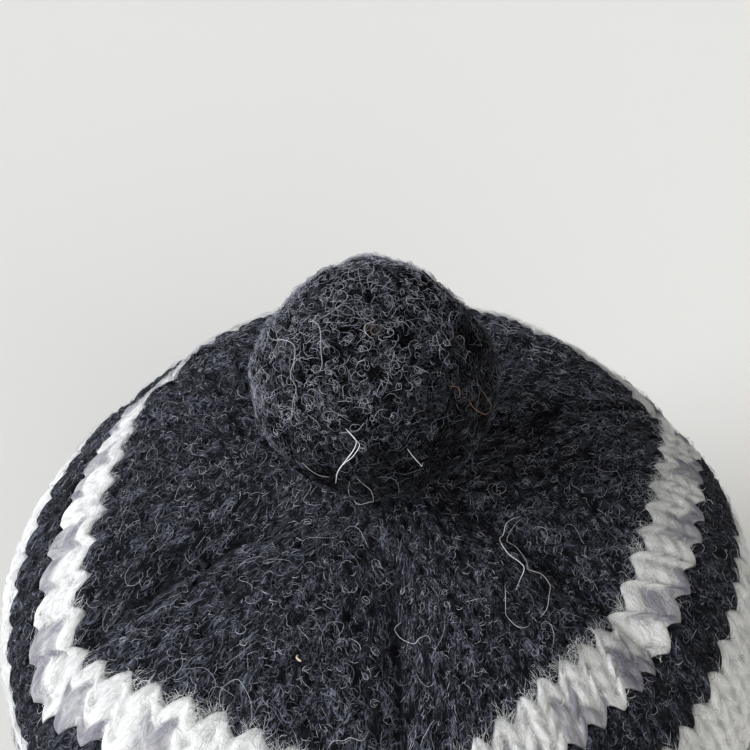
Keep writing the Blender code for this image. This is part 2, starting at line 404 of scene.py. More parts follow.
def knitted_face(row, column, height, lumps, seed, shift=0.0, ribbed=False):
    """Points on a knitted face, its outward directions, and how full the stitch is there, less so along the
    decrease lines to paint shade into their crease.
    """
    gore = np.floor(column / GORE_STITCHES).astype(int) % GORES
    stitch, across = stitch_of(row, column, shift)
    past_row_end = 1e-4
    relief = stitch_relief(row + past_row_end, stitch, across, gore, seed)
    lean, purled, in_ribs = worked(row, column, shift, ribbed)
    arch = bump(row % 1 - 0.5, PURL_LENGTH) * bump(across, PURL_WIDTH)
    relief = relief + (PURL_HEIGHT * arch - relief) * purled
    shaded_crease = line_crease(row, column)
    ridge = np.cos(2 * math.pi * ((column + shift + 0.5) / 2))
    rise = height * (relief - FACE_LEVEL) - CREASE_DEPTH * shaded_crease + RIB_HEIGHT / 2 * ridge * in_ribs
    # Along the decrease lines the fullness is lowered, which paints shade into their crease
    relief = relief * (1 - CREASE_SHADE * shaded_crease)
    points, outward = on_cap(row - lean, column, rise)
    flat = points.reshape(-1, 3)
    uneven = sum(share * cloud(flat, length, seed + more) for length, share, more in LUMPS)
    to_edge = smooth_step(CLOTH_ROWS - row, 0.0, 1.0) * smooth_step(row, 1.5, 4.0)
    uneven = lumps * to_edge * uneven.reshape(row.shape)
    return points + outward * uneven[..., None], outward, relief


def lie_knitted(mesh, height, lumps, seed, shift=0.0, ribbed=False):
    """Lays a knitted tube on the cap. Gives its points, how full its stitches are there, and its felt."""
    flat = flat_points(mesh)
    column = column_of(flat)
    row = flat[:, 2]
    inside = np.hypot(flat[:, 0], flat[:, 1]) < (FACE_RADIUS + INSIDE_RADIUS) / 2
    face, _, relief = knitted_face(row, column, height, lumps, seed, shift, ribbed)
    lean, _, _ = worked(row, column, shift, ribbed)
    purl_row = INSIDE_RELIEF * height * bump(row % 1 - 0.5, INSIDE_LENGTH)
    backing, _ = on_cap(row - lean, column, -WALL + purl_row)
    around = 2 * math.pi * column / STITCHES
    felt = [FELT_GIRTH * np.cos(around), FELT_GIRTH * np.sin(around), FELT_DRAWN * row * ROW_HEIGHT]
    fullness = np.where(inside, INSIDE_FULLNESS, relief)
    return np.where(inside[:, None], backing, face), fullness, np.stack(felt, -1)


charcoal_wool = wool("charcoal_wool", CHARCOAL, CHARCOAL_FIBRE, CHARCOAL_SHADE_AND_CLOUD)
brim_mesh = knitted_tube("ribbed_brim_knit", BRIM_ROWS, stitch_steps=6, row_steps=4)
BRIM_KNIT = dict(height=0.0009, lumps=0.00028, seed=11, shift=0.5, ribbed=True)
dressed("ribbed_brim_knit", brim_mesh, *lie_knitted(brim_mesh, **BRIM_KNIT), charcoal_wool, "ribbed_brim")

# The side: seven rows of plain knitting in charcoal wool, which go on from the brim's stitches on the same
# needles. Fulling has softened them, so the stitches are low.
SIDE_ROWS = (26, 33)
SIDE_KNIT = dict(height=0.0009, lumps=0.00028, seed=21)
side_mesh = knitted_tube("side_knit", SIDE_ROWS, stitch_steps=8, row_steps=4)
dressed("side_knit", side_mesh, *lie_knitted(side_mesh, **SIDE_KNIT), charcoal_wool, "side")

# The grey round: two rows of lilac-grey wool between the charcoal side and the off-white round, joined to
# both by their stitches.
GREY_ROWS = (24, 26)
GREY_KNIT = dict(height=0.0010, lumps=0.00028, seed=31)
LILAC_GREY = (0.198, 0.186, 0.230)
LILAC_FIBRE = (0.37, 0.36, 0.41)
# Share of the pale yarns' colour kept in the painted shade between stitches and in the dark clouds
PALE_SHADE_AND_CLOUD = 0.76
lilac_wool = wool("lilac_wool", LILAC_GREY, LILAC_FIBRE, PALE_SHADE_AND_CLOUD)
grey_mesh = knitted_tube("grey_round_knit", GREY_ROWS, stitch_steps=10, row_steps=5)
dressed("grey_round_knit", grey_mesh, *lie_knitted(grey_mesh, **GREY_KNIT), lilac_wool, "grey_round")

# The white round: five rows of off-white wool. Its stitches stay plump, and their legs show as rows of
# points over the colours beside them.
WHITE_ROWS = (19, 24)
WHITE_KNIT = dict(height=0.0012, lumps=0.00028, seed=41)
OFF_WHITE = (0.83, 0.825, 0.805)
WHITE_FIBRE = (0.97, 0.97, 0.95)
white_wool = wool("white_wool", OFF_WHITE, WHITE_FIBRE, PALE_SHADE_AND_CLOUD)
white_mesh = knitted_tube("white_round_knit", WHITE_ROWS, stitch_steps=10, row_steps=5)
dressed("white_round_knit", white_mesh, *lie_knitted(white_mesh, **WHITE_KNIT), white_wool, "white_round")

# The dark round: three rows of charcoal wool between the off-white round and the pattern, knitted on like
# the rows below them.
DARK_ROWS = (16, 19)
DARK_KNIT = dict(height=0.0010, lumps=0.00028, seed=51)
dark_mesh = knitted_tube("dark_round_knit", DARK_ROWS, stitch_steps=10, row_steps=5)
dressed("dark_round_knit", dark_mesh, *lie_knitted(dark_mesh, **DARK_KNIT), charcoal_wool, "dark_round")

# The pattern round: off-white stitches worked with lilac-grey ones, so that white points stand out over the
# charcoal every three stitches. The chart has a line for each row, from the crown outwards, 1 for lilac-grey.
PATTERN_ROWS = (13, 16)
PATTERN_KNIT = dict(height=0.0012, lumps=0.00028, seed=61)
CHART = np.array([[0, 0, 0], [0, 0, 1], [1, 0, 1]])
pattern_mesh = knitted_tube("pattern_round_knit", PATTERN_ROWS, stitch_steps=10, row_steps=5)
pattern_flat = flat_points(pattern_mesh)


def charted(row, column):
    """The chart's yarn at places of the pattern: 0 for off-white and 1 for lilac-grey."""
    stitch, _ = stitch_of(row, column)
    line = np.clip(np.floor(row).astype(int) - PATTERN_ROWS[0], 0, len(CHART) - 1)
    return CHART[line, (stitch + 1) % CHART.shape[1]]


pattern_yarn = charted(pattern_flat[:, 2], column_of(pattern_flat)).astype(np.float32)
pattern_mesh.attributes.new("second_yarn", "FLOAT", "POINT").data.foreach_set("value", pattern_yarn)
pattern_wool = wool("pattern_wool", OFF_WHITE, WHITE_FIBRE, PALE_SHADE_AND_CLOUD, (LILAC_GREY, LILAC_FIBRE))
pattern_laid = lie_knitted(pattern_mesh, **PATTERN_KNIT)
pattern_round = dressed("pattern_round_knit", pattern_mesh, *pattern_laid, pattern_wool, "pattern_round")

# The crown: charcoal wool, its thirteen rows drawn in to the middle along six decrease lines. It is fulled
# the most, so its stitches are only soft lumps under the fibres.
CROWN_ROWS = 13
CROWN_STEPS = 96
CROWN_INNER_STEPS = 32
crown_sheet = bmesh.new()
corner_radius = (CROWN_ROWS - GAP_ROWS / 2) / math.cos(math.pi / GORES)
for level, steps in ((0, CROWN_STEPS), (-1, CROWN_INNER_STEPS)):
    turned = Matrix.Translation((0, 0, level)) @ Matrix.Rotation(math.pi / GORES, 4, "Z")
    made = bmesh.ops.create_circle(crown_sheet, cap_ends=True, cap_tris=True, segments=GORES,
                                   radius=corner_radius, matrix=turned)
    edges = list({edge for vertex in made["verts"] for edge in vertex.link_edges})
    bmesh.ops.subdivide_edges(crown_sheet, edges=edges, cuts=steps - 1, use_grid_fill=True)
rims = [edge for edge in crown_sheet.edges if edge.is_boundary]
bmesh.ops.bridge_loops(crown_sheet, edges=rims)
bmesh.ops.recalc_face_normals(crown_sheet, faces=list(crown_sheet.faces))
crown_mesh = bpy.data.meshes.new("crown_knit")
crown_sheet.to_mesh(crown_mesh)
crown_sheet.free()


def crown_place(flat):
    """Row and column of places on the flat six-sided sheet."""
    turn = np.arctan2(flat[:, 1], flat[:, 0]) % (2 * math.pi)
    gore_angle = 2 * math.pi / GORES
    gore = np.floor(turn / gore_angle)
    from_middle = turn - (gore + 0.5) * gore_angle
    share = 0.5 + 0.5 * np.tan(from_middle) / math.tan(gore_angle / 2)
    return np.hypot(flat[:, 0], flat[:, 1]) * np.cos(from_middle), GORE_STITCHES * (gore + share)


CROWN_KNIT = dict(height=0.0012, lumps=0.00060, seed=71)
CROWN_FELT_EVEN_AT = 0.040
crown_flat = flat_points(crown_mesh)
crown_row, crown_column = crown_place(crown_flat)
crown_face, _, crown_relief = knitted_face(crown_row, crown_column, **CROWN_KNIT)
crown_lean, _, _ = worked(crown_row, crown_column, 0.0, False)
crown_backing, _ = on_cap(crown_row - crown_lean, crown_column, -WALL)
crown_inside = crown_flat[:, 2] < -0.5
crown_points = np.where(crown_inside[:, None], crown_backing, crown_face)
crown_around = np.arctan2(crown_flat[:, 1], crown_flat[:, 0])
crown_drawn = np.sqrt(np.hypot(crown_flat[:, 0], crown_flat[:, 1]) * ROW_HEIGHT * CROWN_FELT_EVEN_AT)
crown_felt = np.stack([np.cos(crown_around), np.sin(crown_around), 0 * crown_around], -1)
crown_felt *= crown_drawn[:, None]
crown = dressed("crown_knit", crown_mesh, crown_points, crown_relief, crown_felt, charcoal_wool, "crown")

# The bobble: a ball knitted of the crown's charcoal wool, stuffed, gathered at its top and sewn on by its
# foot. It is fulled hard, so its stitches are mere lumps. Where the stuffing is thin it has hollows.
BOBBLE_RADIUS = 0.0235
BOBBLE_PLACE = (-0.0020, 0.0040)
BOBBLE_LIFT = 0.92
BOBBLE_MIDDLE = np.array([*BOBBLE_PLACE, CROWN_TOP + BOBBLE_LIFT * BOBBLE_RADIUS])
BOBBLE_FOOT = CROWN_TOP + GAP
BOBBLE_GATHERS = 8
GATHER_DEPTH = 0.018
GATHER_SPREAD = 1.2
# The bobble's painted light: the way it comes from, and the band over which the wool goes from painted shade
# to full colour
PAINTED_LIGHT_FROM = (-0.5, 0.0, 0.87)
PAINTED_LIGHT_BAND = (-0.1, 0.65)
# The bobble's yarn and fibre are the crown's wool painted darker: painted shade for the light its dense
# tangle keeps out
BOBBLE_SHADED_YARN = (0.0035, 0.0036, 0.0043)
BOBBLE_SHADED_FIBRE = (0.140, 0.145, 0.168)
# How dark the painted shade on the bobble's wool goes
BOBBLE_PAINTED_SHADE_DARKEST = 0.22
# Its fulled lumps: height in metres, length as a share of the radius, and seed
BOBBLE_LUMPS = ((0.00042, 0.42, 82), (0.00034, 0.20, 83), (0.00016, 0.085, 84))
LUMP_REACH = 0.0010
# Its hollows: azimuth and elevation of the direction, width in degrees, and depth as a share of the radius
HOLLOWS = ((-130, 32, 24, -0.09), (130, 31, 26, -0.14), (180, 46, 18, -0.04), (-20, 80, 13, -0.05))


def on_bobble(direction, rise=0.0):
    """Points of the bobble in the given directions from its middle, at a rise above its face."""
    from_top = np.arccos(np.clip(direction[:, 2], -1, 1))
    turn = np.arctan2(direction[:, 1], direction[:, 0])
    share = GATHER_DEPTH * np.cos(BOBBLE_GATHERS * turn) * np.sin(from_top) * bump(from_top, GATHER_SPREAD)
    for azimuth, elevation, width, depth in HOLLOWS:
        level = math.cos(math.radians(elevation))
        towards = np.array([math.sin(math.radians(azimuth)) * level, -math.cos(math.radians(azimuth)) * level,
                            math.sin(math.radians(elevation))])
        share = share + depth * bump(np.degrees(np.arccos(np.clip(direction @ towards, -1, 1))), width)
    points = BOBBLE_MIDDLE + direction * (BOBBLE_RADIUS * (1 + share) + rise)[:, None]
    points[:, 2] = np.maximum(points[:, 2], BOBBLE_FOOT)
    return points


def bobble_lumps(direction):
    """Height of the fulled lumps on the bobble, which hide its stitches."""
    return sum(height * cloud(direction, length, seed) for height, length, seed in BOBBLE_LUMPS)


def bobble_painted_light(direction):
    """Painted light on the bobble's wool, from 0 to 1: low down and on its right, away from the light, it is
    painted nearer black.
    """
    return smooth_step(direction @ PAINTED_LIGHT_FROM, *PAINTED_LIGHT_BAND)


bobble_ball = bmesh.new()
bmesh.ops.create_uvsphere(bobble_ball, u_segments=160, v_segments=90, radius=1)
bobble_mesh = bpy.data.meshes.new("bobble_knit")
bobble_ball.to_mesh(bobble_mesh)
bobble_ball.free()
bobble_direction = flat_points(bobble_mesh)
bobble_direction /= np.linalg.norm(bobble_direction, axis=1, keepdims=True)
bobble_height = bobble_lumps(bobble_direction)
# Painted shade: the bobble's wool is darker low down and on its right, away from the light, and in the gaps
# between its lumps
bobble_painted_shade = BOBBLE_PAINTED_SHADE_DARKEST + (1 - BOBBLE_PAINTED_SHADE_DARKEST) * bobble_painted_light(bobble_direction)
bobble_fullness_and_shade = np.clip(0.5 + bobble_height / LUMP_REACH, 0, 1) * bobble_painted_shade
bobble_wool = wool("bobble_wool", BOBBLE_SHADED_YARN, BOBBLE_SHADED_FIBRE, CHARCOAL_SHADE_AND_CLOUD, shine=0.02, sheen=0.0)
bobble = dressed("bobble_knit", bobble_mesh, on_bobble(bobble_direction, bobble_height), bobble_fullness_and_shade,
                 BOBBLE_RADIUS * bobble_direction, bobble_wool, "bobble")

# The nap of the crown: short curled fibres that fulling raised all over the cloth, each rooted in the yarn
# at both ends or at one, and lying mostly along the columns of stitches.
FIBRE_SIDES = 3
FIBRE_TIP = 0.25
FIBRE_TONES = ((0.048, 0.053, 0.070), (0.205, 0.217, 0.277), (0.58, 0.59, 0.66))
ROOTS_TRIED = 2
ROOT_DEPTH = 0.00010
FREE_ENDS = 0.35
FRINGE_LIFT = 0.0005
FIBRE_LENGTHS = (0.6, 1.4)
FIBRE_HEIGHTS = (0.35, 1.0)
FIBRE_THICKNESSES = (0.75, 1.25)
FREE_END_BOW = 1.4
# The nap grows in patches: their length, and how much they count beside the plumpness of the stitch
PATCH_LENGTH = 0.0042
PATCH_SHARE = 0.35
NAPPED = (0.1, 0.9)
NAP_CHANCE = 0.7
# How much paler the fibres are on full stitches and patches than in the gaps: painted shade in the gaps
PALER_ON_PLUMP = 0.5
NAP_ROWS = (2.4, CROWN_ROWS)


def fibre_wool(name, colour):
    material = bpy.data.materials.new(name)
    material.use_nodes = True
    shader = material.node_tree.nodes["Principled BSDF"]
    shader.inputs["Base Color"].default_value = (*colour, 1)
    shader.inputs["Roughness"].default_value = 0.55
    shader.inputs["Specular IOR Level"].default_value = 0.35
    return material


def wander(draw, count, steps, length, bend, along=None, inwards=False):
    """Curled flat paths from (0, 0). Their bend, in turns a millimetre, drifts, so each coils its own way.

    Along is how far in radians their headings stray from the column. Inwards, all head for the crown.
    """
    heading = draw.uniform(0, 2 * math.pi, (count, 1)) if along is None else draw.normal(0, along, (count, 1))
    heading = heading + math.pi * (1 if inwards else draw.integers(0, 2, (count, 1)))
    step = length[:, None] / steps
    coil = draw.normal(size=(count, 1))
    drift = np.cumsum(draw.normal(size=(count, steps)), axis=1)
    turning = bend * (coil + 0.5 * drift)
    angle = heading + np.cumsum(turning * step * 1000 * 2 * math.pi, axis=1)
    sideways = np.cumsum(step * np.sin(angle), axis=1)
    forward = np.cumsum(step * np.cos(angle), axis=1)
    start = np.zeros((count, 1))
    return np.hstack([start, sideways]), np.hstack([start, forward])


def looped(draw, count, steps, height, free):
    """Rise of each fibre above its yarn: an arch from root to root, or a free end for a share of them."""
    share = np.linspace(0, 1, steps + 1)
    top = height * draw.uniform(*FIBRE_HEIGHTS, (count, 1))
    arch = np.sin(math.pi * share) * top
    upward = share ** FREE_END_BOW * top
    return np.where(draw.random((count, 1)) < free, upward, arch) - ROOT_DEPTH


def fibres(name, paths, outward, radius, tones, materials):
    """One mesh of many tapered three-sided fibres, each in one of the given materials."""
    count, places = paths.shape[:2]
    along = np.gradient(paths, axis=1)
    side = np.cross(along, outward)
    side /= np.linalg.norm(side, axis=-1, keepdims=True) + 1e-12
    up = np.cross(side, along)
    up /= np.linalg.norm(up, axis=-1, keepdims=True) + 1e-12
    taper = np.sin(np.linspace(FIBRE_TIP, math.pi - FIBRE_TIP, places)) ** 0.4
    thickness = np.broadcast_to(radius, (count,))[:, None] * taper
    corner = 2 * math.pi * np.arange(FIBRE_SIDES) / FIBRE_SIDES
    around = side[:, :, None] * np.cos(corner)[:, None] + up[:, :, None] * np.sin(corner)[:, None]
    rings = paths[:, 1:-1, None] + thickness[:, 1:-1, None, None] * around[:, 1:-1]
    points = np.concatenate([paths[:, :1], rings.reshape(count, -1, 3), paths[:, -1:]], axis=1)
    side_faces = []
    end_faces = []
    last = 1 + (places - 2) * FIBRE_SIDES
    for first in range(FIBRE_SIDES):
        second = (first + 1) % FIBRE_SIDES
        end_faces.append((0, 1 + first, 1 + second))
        end_faces.append((last, last - FIBRE_SIDES + second, last - FIBRE_SIDES + first))
        for ring in range(places - 3):
            low = 1 + ring * FIBRE_SIDES
            high = low + FIBRE_SIDES
            side_faces.append((low + first, high + first, high + second, low + second))
    offset = (np.arange(count) * points.shape[1])[:, None, None]
    ends = (np.array(end_faces) + offset).reshape(-1, 3)
    sides = (np.array(side_faces) + offset).reshape(-1, 4)
    mesh = bpy.data.meshes.new(name)
    mesh.from_pydata(points.reshape(-1, 3).astype(np.float32), [], ends.tolist() + sides.tolist())
    for material in materials:
        mesh.materials.append(material)
    worn = np.concatenate([np.repeat(tones, len(end_faces)), np.repeat(tones, len(side_faces))])
    mesh.polygons.foreach_set("material_index", worn.astype(np.int32))
    mesh.shade_smooth()
    piece = bpy.data.objects.new(name, mesh)
    bpy.context.scene.collection.objects.link(piece)
    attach(piece, "root")
    return piece


def nap(name, rows, knit, slot, materials, shares, count, steps, length, bend, height, radius, seed,
        along=None, inwards=False):
    """Fibres strewn over the rows of a knitted face, most on the plump stitches.

    Shares are those of the materials, or say which material a place has. Fibres that run inwards stand over
    the yarn that they stray onto. None reaches below the floor.
    """
    draw = np.random.default_rng(seed)
    distance = np.linspace(rows[0], rows[1], 200) * ROW_HEIGHT
    girth = np.cumsum(dome_profile(distance)[0])
    tried = draw.random(count * ROOTS_TRIED)
    row = np.interp(tried, (girth - girth[0]) / (girth[-1] - girth[0]), distance) / ROW_HEIGHT
    column = draw.uniform(0, STITCHES, len(row))
    places, _, fullness = knitted_face(row, column, **knit)
    fullness = fullness + PATCH_SHARE * cloud(places, PATCH_LENGTH, seed + 7)
    liking = smooth_step(fullness, *NAPPED) + draw.uniform(0, NAP_CHANCE, len(row))
    chosen = np.sort(np.argsort(liking)[-count:])
    row, column, fullness = row[chosen], column[chosen], fullness[chosen]
    own_length = draw.uniform(*FIBRE_LENGTHS, count) * length
    sideways, forward = wander(draw, count, steps, own_length, bend, along, inwards)
    stitch_width = 2 * math.pi * np.maximum(dome_profile(row * ROW_HEIGHT)[0], 0.004) / STITCHES
    rows_on = np.clip(row[:, None] + forward / ROW_HEIGHT, 0.05, CLOTH_ROWS - 0.1)
    columns_on = (column[:, None] + sideways / stitch_width[:, None]) % STITCHES
    rooted, _, _ = knitted_face(row, column, **knit)
    bare, _ = on_cap(row, column)
    paths, outward = on_cap(rows_on, columns_on, looped(draw, count, steps, height, FREE_ENDS))
    paths += (rooted - bare)[:, None]
    if inwards:
        paths += outward * (FRINGE_LIFT * np.linspace(0, 1, steps + 1) ** 0.5)[:, None]
    paths[..., 2] = np.maximum(paths[..., 2], 2 * radius)
    if callable(shares):
        tones = shares(row, column)
    else:
        # Painted shade: fibres in the gaps between stitches and along the decrease lines take the dimmer
        # tones
        pick = np.clip(draw.random(count) + PALER_ON_PLUMP * (fullness - np.median(fullness)), 0, 0.999)
        tones = np.searchsorted(np.cumsum(shares), pick * sum(shares))
    thickness = radius * draw.uniform(*FIBRE_THICKNESSES, count)
    return fibres(name, paths, outward, thickness, tones, materials)


dark_fibres = [fibre_wool("charcoal_fibre_" + tone, colour)
               for tone, colour in zip(("dim", "mid", "bright"), FIBRE_TONES)]
nap("crown_nap", NAP_ROWS, CROWN_KNIT, "crown_wool", dark_fibres, (0.20, 0.52, 0.28), count=10800, steps=4,
    length=0.0021, bend=0.18, height=0.00055, radius=0.000032, seed=101, along=0.75)
nap("crown_hairs", NAP_ROWS, CROWN_KNIT, "crown_wool", dark_fibres, (0.1, 0.62, 0.28), count=420, steps=12,
    length=0.0075, bend=0.10, height=0.0012, radius=0.000034, seed=102)

# The bobble's curls: its wool stands out in a dense tangle of tight loops, with a few long hairs over them.
# They are the crown's wool, and low down and on the bobble's right, away from the light, many are painted
# nearly black for shade.
PAINTED_SHADE_BLACK = (0.012, 0.013, 0.017)
PAINTED_SHADE_BLACK_SHARE = 0.50
PAINTED_LIGHT_PALER_BY = 0.61
CURLS_END_AT = -0.80
CURLS_THIN_OUT = (-0.95, 0.10)
LIKED_LUMP = 0.0012
LIKED_HEIGHT = 0.9
CURL_CHANCE = 1.6
CURL_LENGTHS = (0.5, 1.5)
bobble_fibres = [fibre_wool("charcoal_fibre_painted_shade", PAINTED_SHADE_BLACK)] + dark_fibres


def curls_on_bobble(name, count, steps, length, bend, height, free, radius, shares, seed):
    """Fibres strewn over the bobble, most on its lumps. Shares are those of the dim, mid and bright ones."""
    draw = np.random.default_rng(seed)
    start = draw.normal(size=(count * ROOTS_TRIED, 3))
    start /= np.linalg.norm(start, axis=1, keepdims=True)
    start = start[start[:, 2] > CURLS_END_AT]
    liking = bobble_lumps(start) / LIKED_LUMP + LIKED_HEIGHT * smooth_step(start[:, 2], *CURLS_THIN_OUT)
    liking += draw.uniform(0, CURL_CHANCE, len(start))
    start = start[np.sort(np.argsort(liking)[-count:])]
    count = len(start)
    east = np.cross((0.0, 0.0, 1.0), start)
    east /= np.linalg.norm(east, axis=1, keepdims=True) + 1e-9
    north = np.cross(start, east)
    sideways, forward = wander(draw, count, steps, draw.uniform(*CURL_LENGTHS, count) * length, bend)
    away = sideways[..., None] * east[:, None] + forward[..., None] * north[:, None]
    direction = start[:, None] + away / BOBBLE_RADIUS
    direction /= np.linalg.norm(direction, axis=-1, keepdims=True)
    flat = direction.reshape(-1, 3)
    rise = looped(draw, count, steps, height, free)
    paths = on_bobble(flat, bobble_lumps(flat) + rise.ravel()).reshape(count, steps + 1, 3)
    # Painted shade: low down and on the bobble's right, away from the light, the curls take the nearly black
    # and dim tones
    pick = draw.random(count) + PAINTED_LIGHT_PALER_BY * bobble_painted_light(start) - PAINTED_SHADE_BLACK_SHARE
    tones = 1 + np.searchsorted(np.cumsum(shares), np.clip(pick, 0, 0.999) * sum(shares))
    tones[pick < 0] = 0
    thickness = radius * draw.uniform(*FIBRE_THICKNESSES, count)
    return fibres(name, paths, direction, thickness, tones, bobble_fibres)


curls_on_bobble("bobble_curls", count=6400, steps=6, length=0.0034, bend=0.24, height=0.0010, free=0.3,
                radius=0.000031, shares=(0.36, 0.36, 0.28), seed=111)
curls_on_bobble("bobble_hairs", count=260, steps=12, length=0.0085, bend=0.14, height=0.0014, free=0.4,
                radius=0.000032, shares=(0.1, 0.5, 0.4), seed=112)

# The nap of the coloured rounds, the side and the brim: fulling raised it like the crown's. From the upper
# edges of the white points and of the side a denser fringe of fibres strays over the yarn next to them.
FRINGE = dict(steps=3, height=0.0007, along=0.5, inwards=True)
ONE_TONE = (1.0,)
CHARCOAL_SHARES = (0.3, 0.5, 0.2)
white_fibres = [fibre_wool("white_fibre", (0.88, 0.88, 0.86)), fibre_wool("lilac_fibre", LILAC_FIBRE)]
nap("pattern_round_nap", PATTERN_ROWS, PATTERN_KNIT, "pattern_wool", white_fibres, charted, count=2200,
    steps=4, length=0.0028, bend=0.12, height=0.0007, radius=0.000040, seed=121, along=0.8)
nap("pattern_round_fringe", (13.02, 13.6), PATTERN_KNIT, "pattern_wool", white_fibres, ONE_TONE, count=3600,
    length=0.0034, bend=0.06, radius=0.000026, seed=126, **FRINGE)
nap("white_round_nap", WHITE_ROWS, WHITE_KNIT, "white_wool", white_fibres, ONE_TONE, count=2300,
    steps=4, length=0.0030, bend=0.10, height=0.0007, radius=0.000042, seed=122, along=0.8)
nap("white_round_fringe", (19.02, 19.6), WHITE_KNIT, "white_wool", white_fibres, ONE_TONE, count=1600,
    length=0.0034, bend=0.06, radius=0.000028, seed=127, **FRINGE)
nap("grey_round_nap", GREY_ROWS, GREY_KNIT, "grey_wool", white_fibres[1:], ONE_TONE, count=900,
    steps=3, length=0.0030, bend=0.10, height=0.0008, radius=0.000040, seed=128, along=0.8)
nap("dark_round_nap", DARK_ROWS, DARK_KNIT, "dark_wool", dark_fibres, CHARCOAL_SHARES, count=1500,
    steps=4, length=0.0030, bend=0.12, height=0.0008, radius=0.000042, seed=123, along=0.8)
nap("side_fringe", (26.02, 26.6), SIDE_KNIT, "side_wool", dark_fibres, CHARCOAL_SHARES, count=700,
    length=0.0032, bend=0.08, radius=0.000036, seed=129, **FRINGE)
nap("side_nap", SIDE_ROWS, SIDE_KNIT, "side_wool", dark_fibres, CHARCOAL_SHARES, count=1500,
    steps=3, length=0.0036, bend=0.10, height=0.0009, radius=0.000050, seed=124, along=0.8)
nap("brim_nap", BRIM_ROWS, BRIM_KNIT, "brim_wool", dark_fibres, CHARCOAL_SHARES, count=1800,
    steps=3, length=0.0036, bend=0.10, height=0.0009, radius=0.000050, seed=125, along=0.8)

# The floor, the light and the camera: a pale floor, a broad soft light from the left with a weaker one from
# the front right, and a camera that looks down at the bobble from close above.
CAMERA_ELEVATION = math.radians(45.66)
CAMERA_DISTANCE = 0.23828
CAMERA_LENS = 58.9
CAMERA_FILM = 36
FLOOR_REACH = 3
FLOOR_COLOUR = (0.842, 0.822, 0.778, 1)
WORLD_COLOUR = (1.0, 0.995, 0.98, 1)
WORLD_STRENGTH = 0.12
# Each light: its name, where it comes from, its strength, its width in degrees, and its colour
LIGHTS = (
    ("window", (-1.0, -0.10, 0.63), 4.2, 52, (0.95, 0.98, 1.03)),
    ("fill", (0.40, -1.0, 0.38), 1.35, 60, (1.0, 0.995, 0.97)),
)
floor_sheet = bmesh.new()
bmesh.ops.create_grid(floor_sheet, x_segments=1, y_segments=1, size=FLOOR_REACH)
floor_mesh = bpy.data.meshes.new("floor")
floor_sheet.to_mesh(floor_mesh)
floor_sheet.free()
floor_paint = bpy.data.materials.new("floor_paint")
floor_paint.use_nodes = True
floor_shader = floor_paint.node_tree.nodes["Principled BSDF"]
floor_shader.inputs["Base Color"].default_value = FLOOR_COLOUR
floor_shader.inputs["Roughness"].default_value = 0.9
floor_shader.inputs["Specular IOR Level"].default_value = 0.1
floor_mesh.materials.append(floor_paint)
floor = bpy.data.objects.new("floor", floor_mesh)
bpy.context.scene.collection.objects.link(floor)

# A pale backdrop rises from the floor all round, in a curve without an edge. It is only seen: it neither
# lights the cap nor shades it. Its profile gives the radius and the height.
BACKDROP_PROFILE = (
    (1.70, 0.001), (1.90, 0.008), (2.10, 0.05), (2.28, 0.15), (2.40, 0.32), (2.46, 0.55), (2.48, 2.60),
)
BACKDROP_COLOUR = (0.765, 0.758, 0.740, 1)
backdrop_sheet = bmesh.new()
profile = [backdrop_sheet.verts.new((radius, 0, height)) for radius, height in BACKDROP_PROFILE]
bands = [backdrop_sheet.edges.new(pair) for pair in zip(profile, profile[1:])]
bmesh.ops.spin(backdrop_sheet, geom=profile + bands, axis=(0, 0, 1), cent=(0, 0, 0), angle=2 * math.pi,
               steps=96, use_merge=True)
backdrop_mesh = bpy.data.meshes.new("backdrop")
backdrop_sheet.to_mesh(backdrop_mesh)
backdrop_sheet.free()
backdrop_mesh.shade_smooth()
backdrop_paint = bpy.data.materials.new("backdrop_paint")
backdrop_paint.use_nodes = True
backdrop_shader = backdrop_paint.node_tree.nodes["Principled BSDF"]
backdrop_shader.inputs["Base Color"].default_value = (0, 0, 0, 1)
backdrop_shader.inputs["Specular IOR Level"].default_value = 0.0
backdrop_shader.inputs["Emission Color"].default_value = BACKDROP_COLOUR
backdrop_shader.inputs["Emission Strength"].default_value = 1.0
backdrop_mesh.materials.append(backdrop_paint)
backdrop = bpy.data.objects.new("backdrop", backdrop_mesh)
bpy.context.scene.collection.objects.link(backdrop)
backdrop.visible_diffuse = False
backdrop.visible_glossy = False
backdrop.visible_shadow = False

world = bpy.data.worlds.new("studio")
world.use_nodes = True
world.node_tree.nodes["Background"].inputs["Color"].default_value = WORLD_COLOUR
world.node_tree.nodes["Background"].inputs["Strength"].default_value = WORLD_STRENGTH
bpy.context.scene.world = world
for name, come_from, strength, width, colour in LIGHTS:
    lamp = bpy.data.lights.new(name, "SUN")
    lamp.energy = strength
    lamp.angle = math.radians(width)
    lamp.color = colour
    light = bpy.data.objects.new(name, lamp)
    light.rotation_mode = "QUATERNION"
    light.rotation_quaternion = Vector(come_from).to_track_quat("Z", "Y")
    bpy.context.scene.collection.objects.link(light)

camera_data = bpy.data.cameras.new("camera")
camera_data.lens = CAMERA_LENS
camera_data.sensor_width = CAMERA_FILM
camera_data.clip_start = 0.01
camera = bpy.data.objects.new("camera", camera_data)
bpy.context.scene.collection.objects.link(camera)
back = Vector((0, -math.cos(CAMERA_ELEVATION), math.sin(CAMERA_ELEVATION)))
camera.location = Vector(BOBBLE_MIDDLE) + back * CAMERA_DISTANCE
camera.rotation_mode = "QUATERNION"
camera.rotation_quaternion = (-back).to_track_quat("-Z", "Y")
bpy.context.scene.camera = camera
bpy.context.scene.view_settings.view_transform = "Standard"

